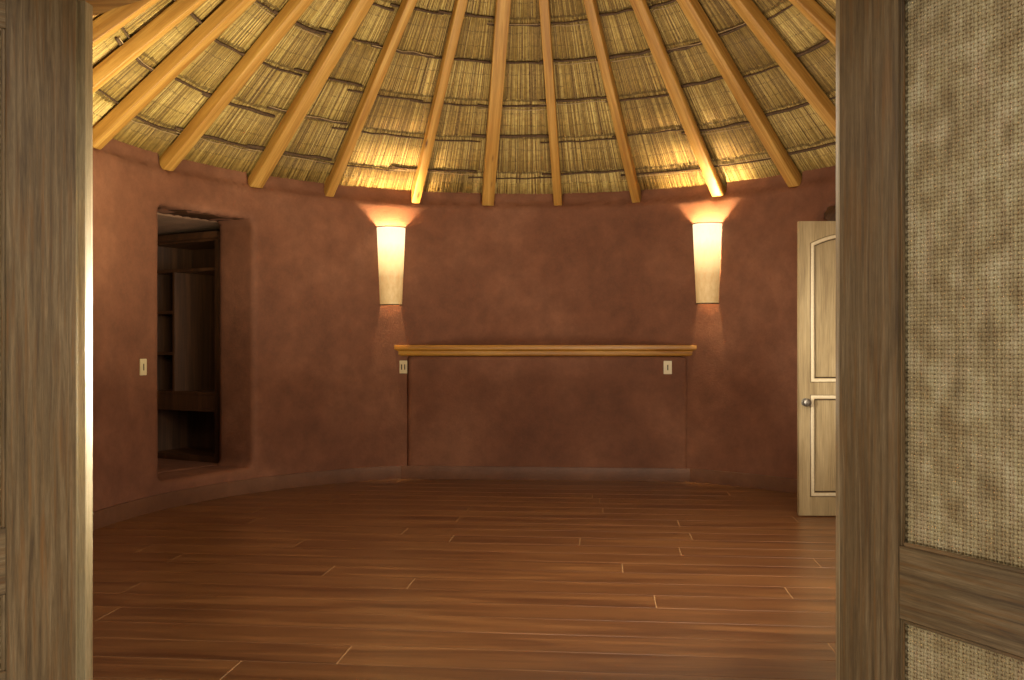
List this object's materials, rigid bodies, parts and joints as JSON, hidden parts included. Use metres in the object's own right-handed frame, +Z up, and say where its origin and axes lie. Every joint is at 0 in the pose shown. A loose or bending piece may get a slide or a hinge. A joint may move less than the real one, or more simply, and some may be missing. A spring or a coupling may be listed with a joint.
{
  "type": "rondavel hut",
  "caption": "Round adobe hut with a conical reed-thatched roof on radial rafters, double entrance doors, a side door and a closet bay.",
  "frame": {"origin": "centre of the round room, at ground level under the foundation", "axes": "+Z up, entrance on the -Y side, +X to the right seen from the entrance"},
  "size_m": [7.9, 7.7153, 5.6988],
  "materials": {
    "footing": "rough",
    "floor_boards": "polished",
    "adobe": "matte, hand-plastered",
    "skirting_paint": "satin",
    "door_timber": "oiled",
    "woven_cane": "woven",
    "hinge_metal": "satin",
    "dark_timber": "oiled",
    "aged_paint": "aged paint",
    "pewter": "dull",
    "pane": "clear",
    "parchment": "translucent",
    "waxed_pine": "waxed",
    "rafter_pine": "sawn",
    "batten_stick": "rough",
    "reed": "dry reed"
  },
  "bodies": {
    "hut": {"foundation": "footing", "plank_floor": "floor_boards", "threshold": "door_timber", "skirting": "skirting_paint", "wall_back_left": "adobe", "wall_back_centre_left": "adobe", "wall_back_centre_right": "adobe", "wall_back_right": "adobe", "wall_right": "adobe", "wall_front_right": "adobe", "wall_front_left": "adobe", "wall_left": "adobe", "walls_at_openings": "adobe", "lintels": "dark_timber", "entrance_posts": "door_timber", "entrance_head": "door_timber", "entrance_plate": "rafter_pine", "side_door_posts": "dark_timber", "side_door_head": "dark_timber", "hinge_pins": "hinge_metal", "window_frames": "door_timber", "window_glass": "pane", "closet_floor": "adobe", "closet_walls": "adobe", "closet_roof": "adobe", "closet_shelves": "dark_timber", "knee_wall": "adobe", "bed_ledge": "waxed_pine", "wall_lights": "parchment", "rafters": "rafter_pine", "eaves_pieces": "rafter_pine", "beam_filling": "adobe", "battens": "batten_stick", "crown_ring": "rafter_pine", "thatch": "reed", "peak_cap": "reed"},
    "left_door": {"left_leaf": "door_timber", "left_leaf_panels": "woven_cane", "left_leaf_hinges": "hinge_metal"},
    "right_door": {"right_leaf": "door_timber", "right_leaf_panels": "woven_cane", "right_leaf_hinges": "hinge_metal"},
    "side_door": {"side_door_leaf": "aged_paint", "side_door_knobs": "pewter", "side_door_hinges": "pewter"}
  },
  "joints": [
    {"name": "left_door_hinge", "type": "hinge", "parent": "hut", "child": "left_door", "pos_m": [-1.232, -2.98881, 0], "axis": [0, 0, -1], "range_deg": [-122, 38]},
    {"name": "right_door_hinge", "type": "hinge", "parent": "hut", "child": "right_door", "pos_m": [1.232, -2.98881, 0], "axis": [0, 0, 1], "range_deg": [-122, 38]},
    {"name": "side_door_hinge", "type": "hinge", "parent": "hut", "child": "side_door", "pos_m": [2.6229, 0.91694, 0], "axis": [0, 0, 1], "range_deg": [-68, 27]}
  ]
}
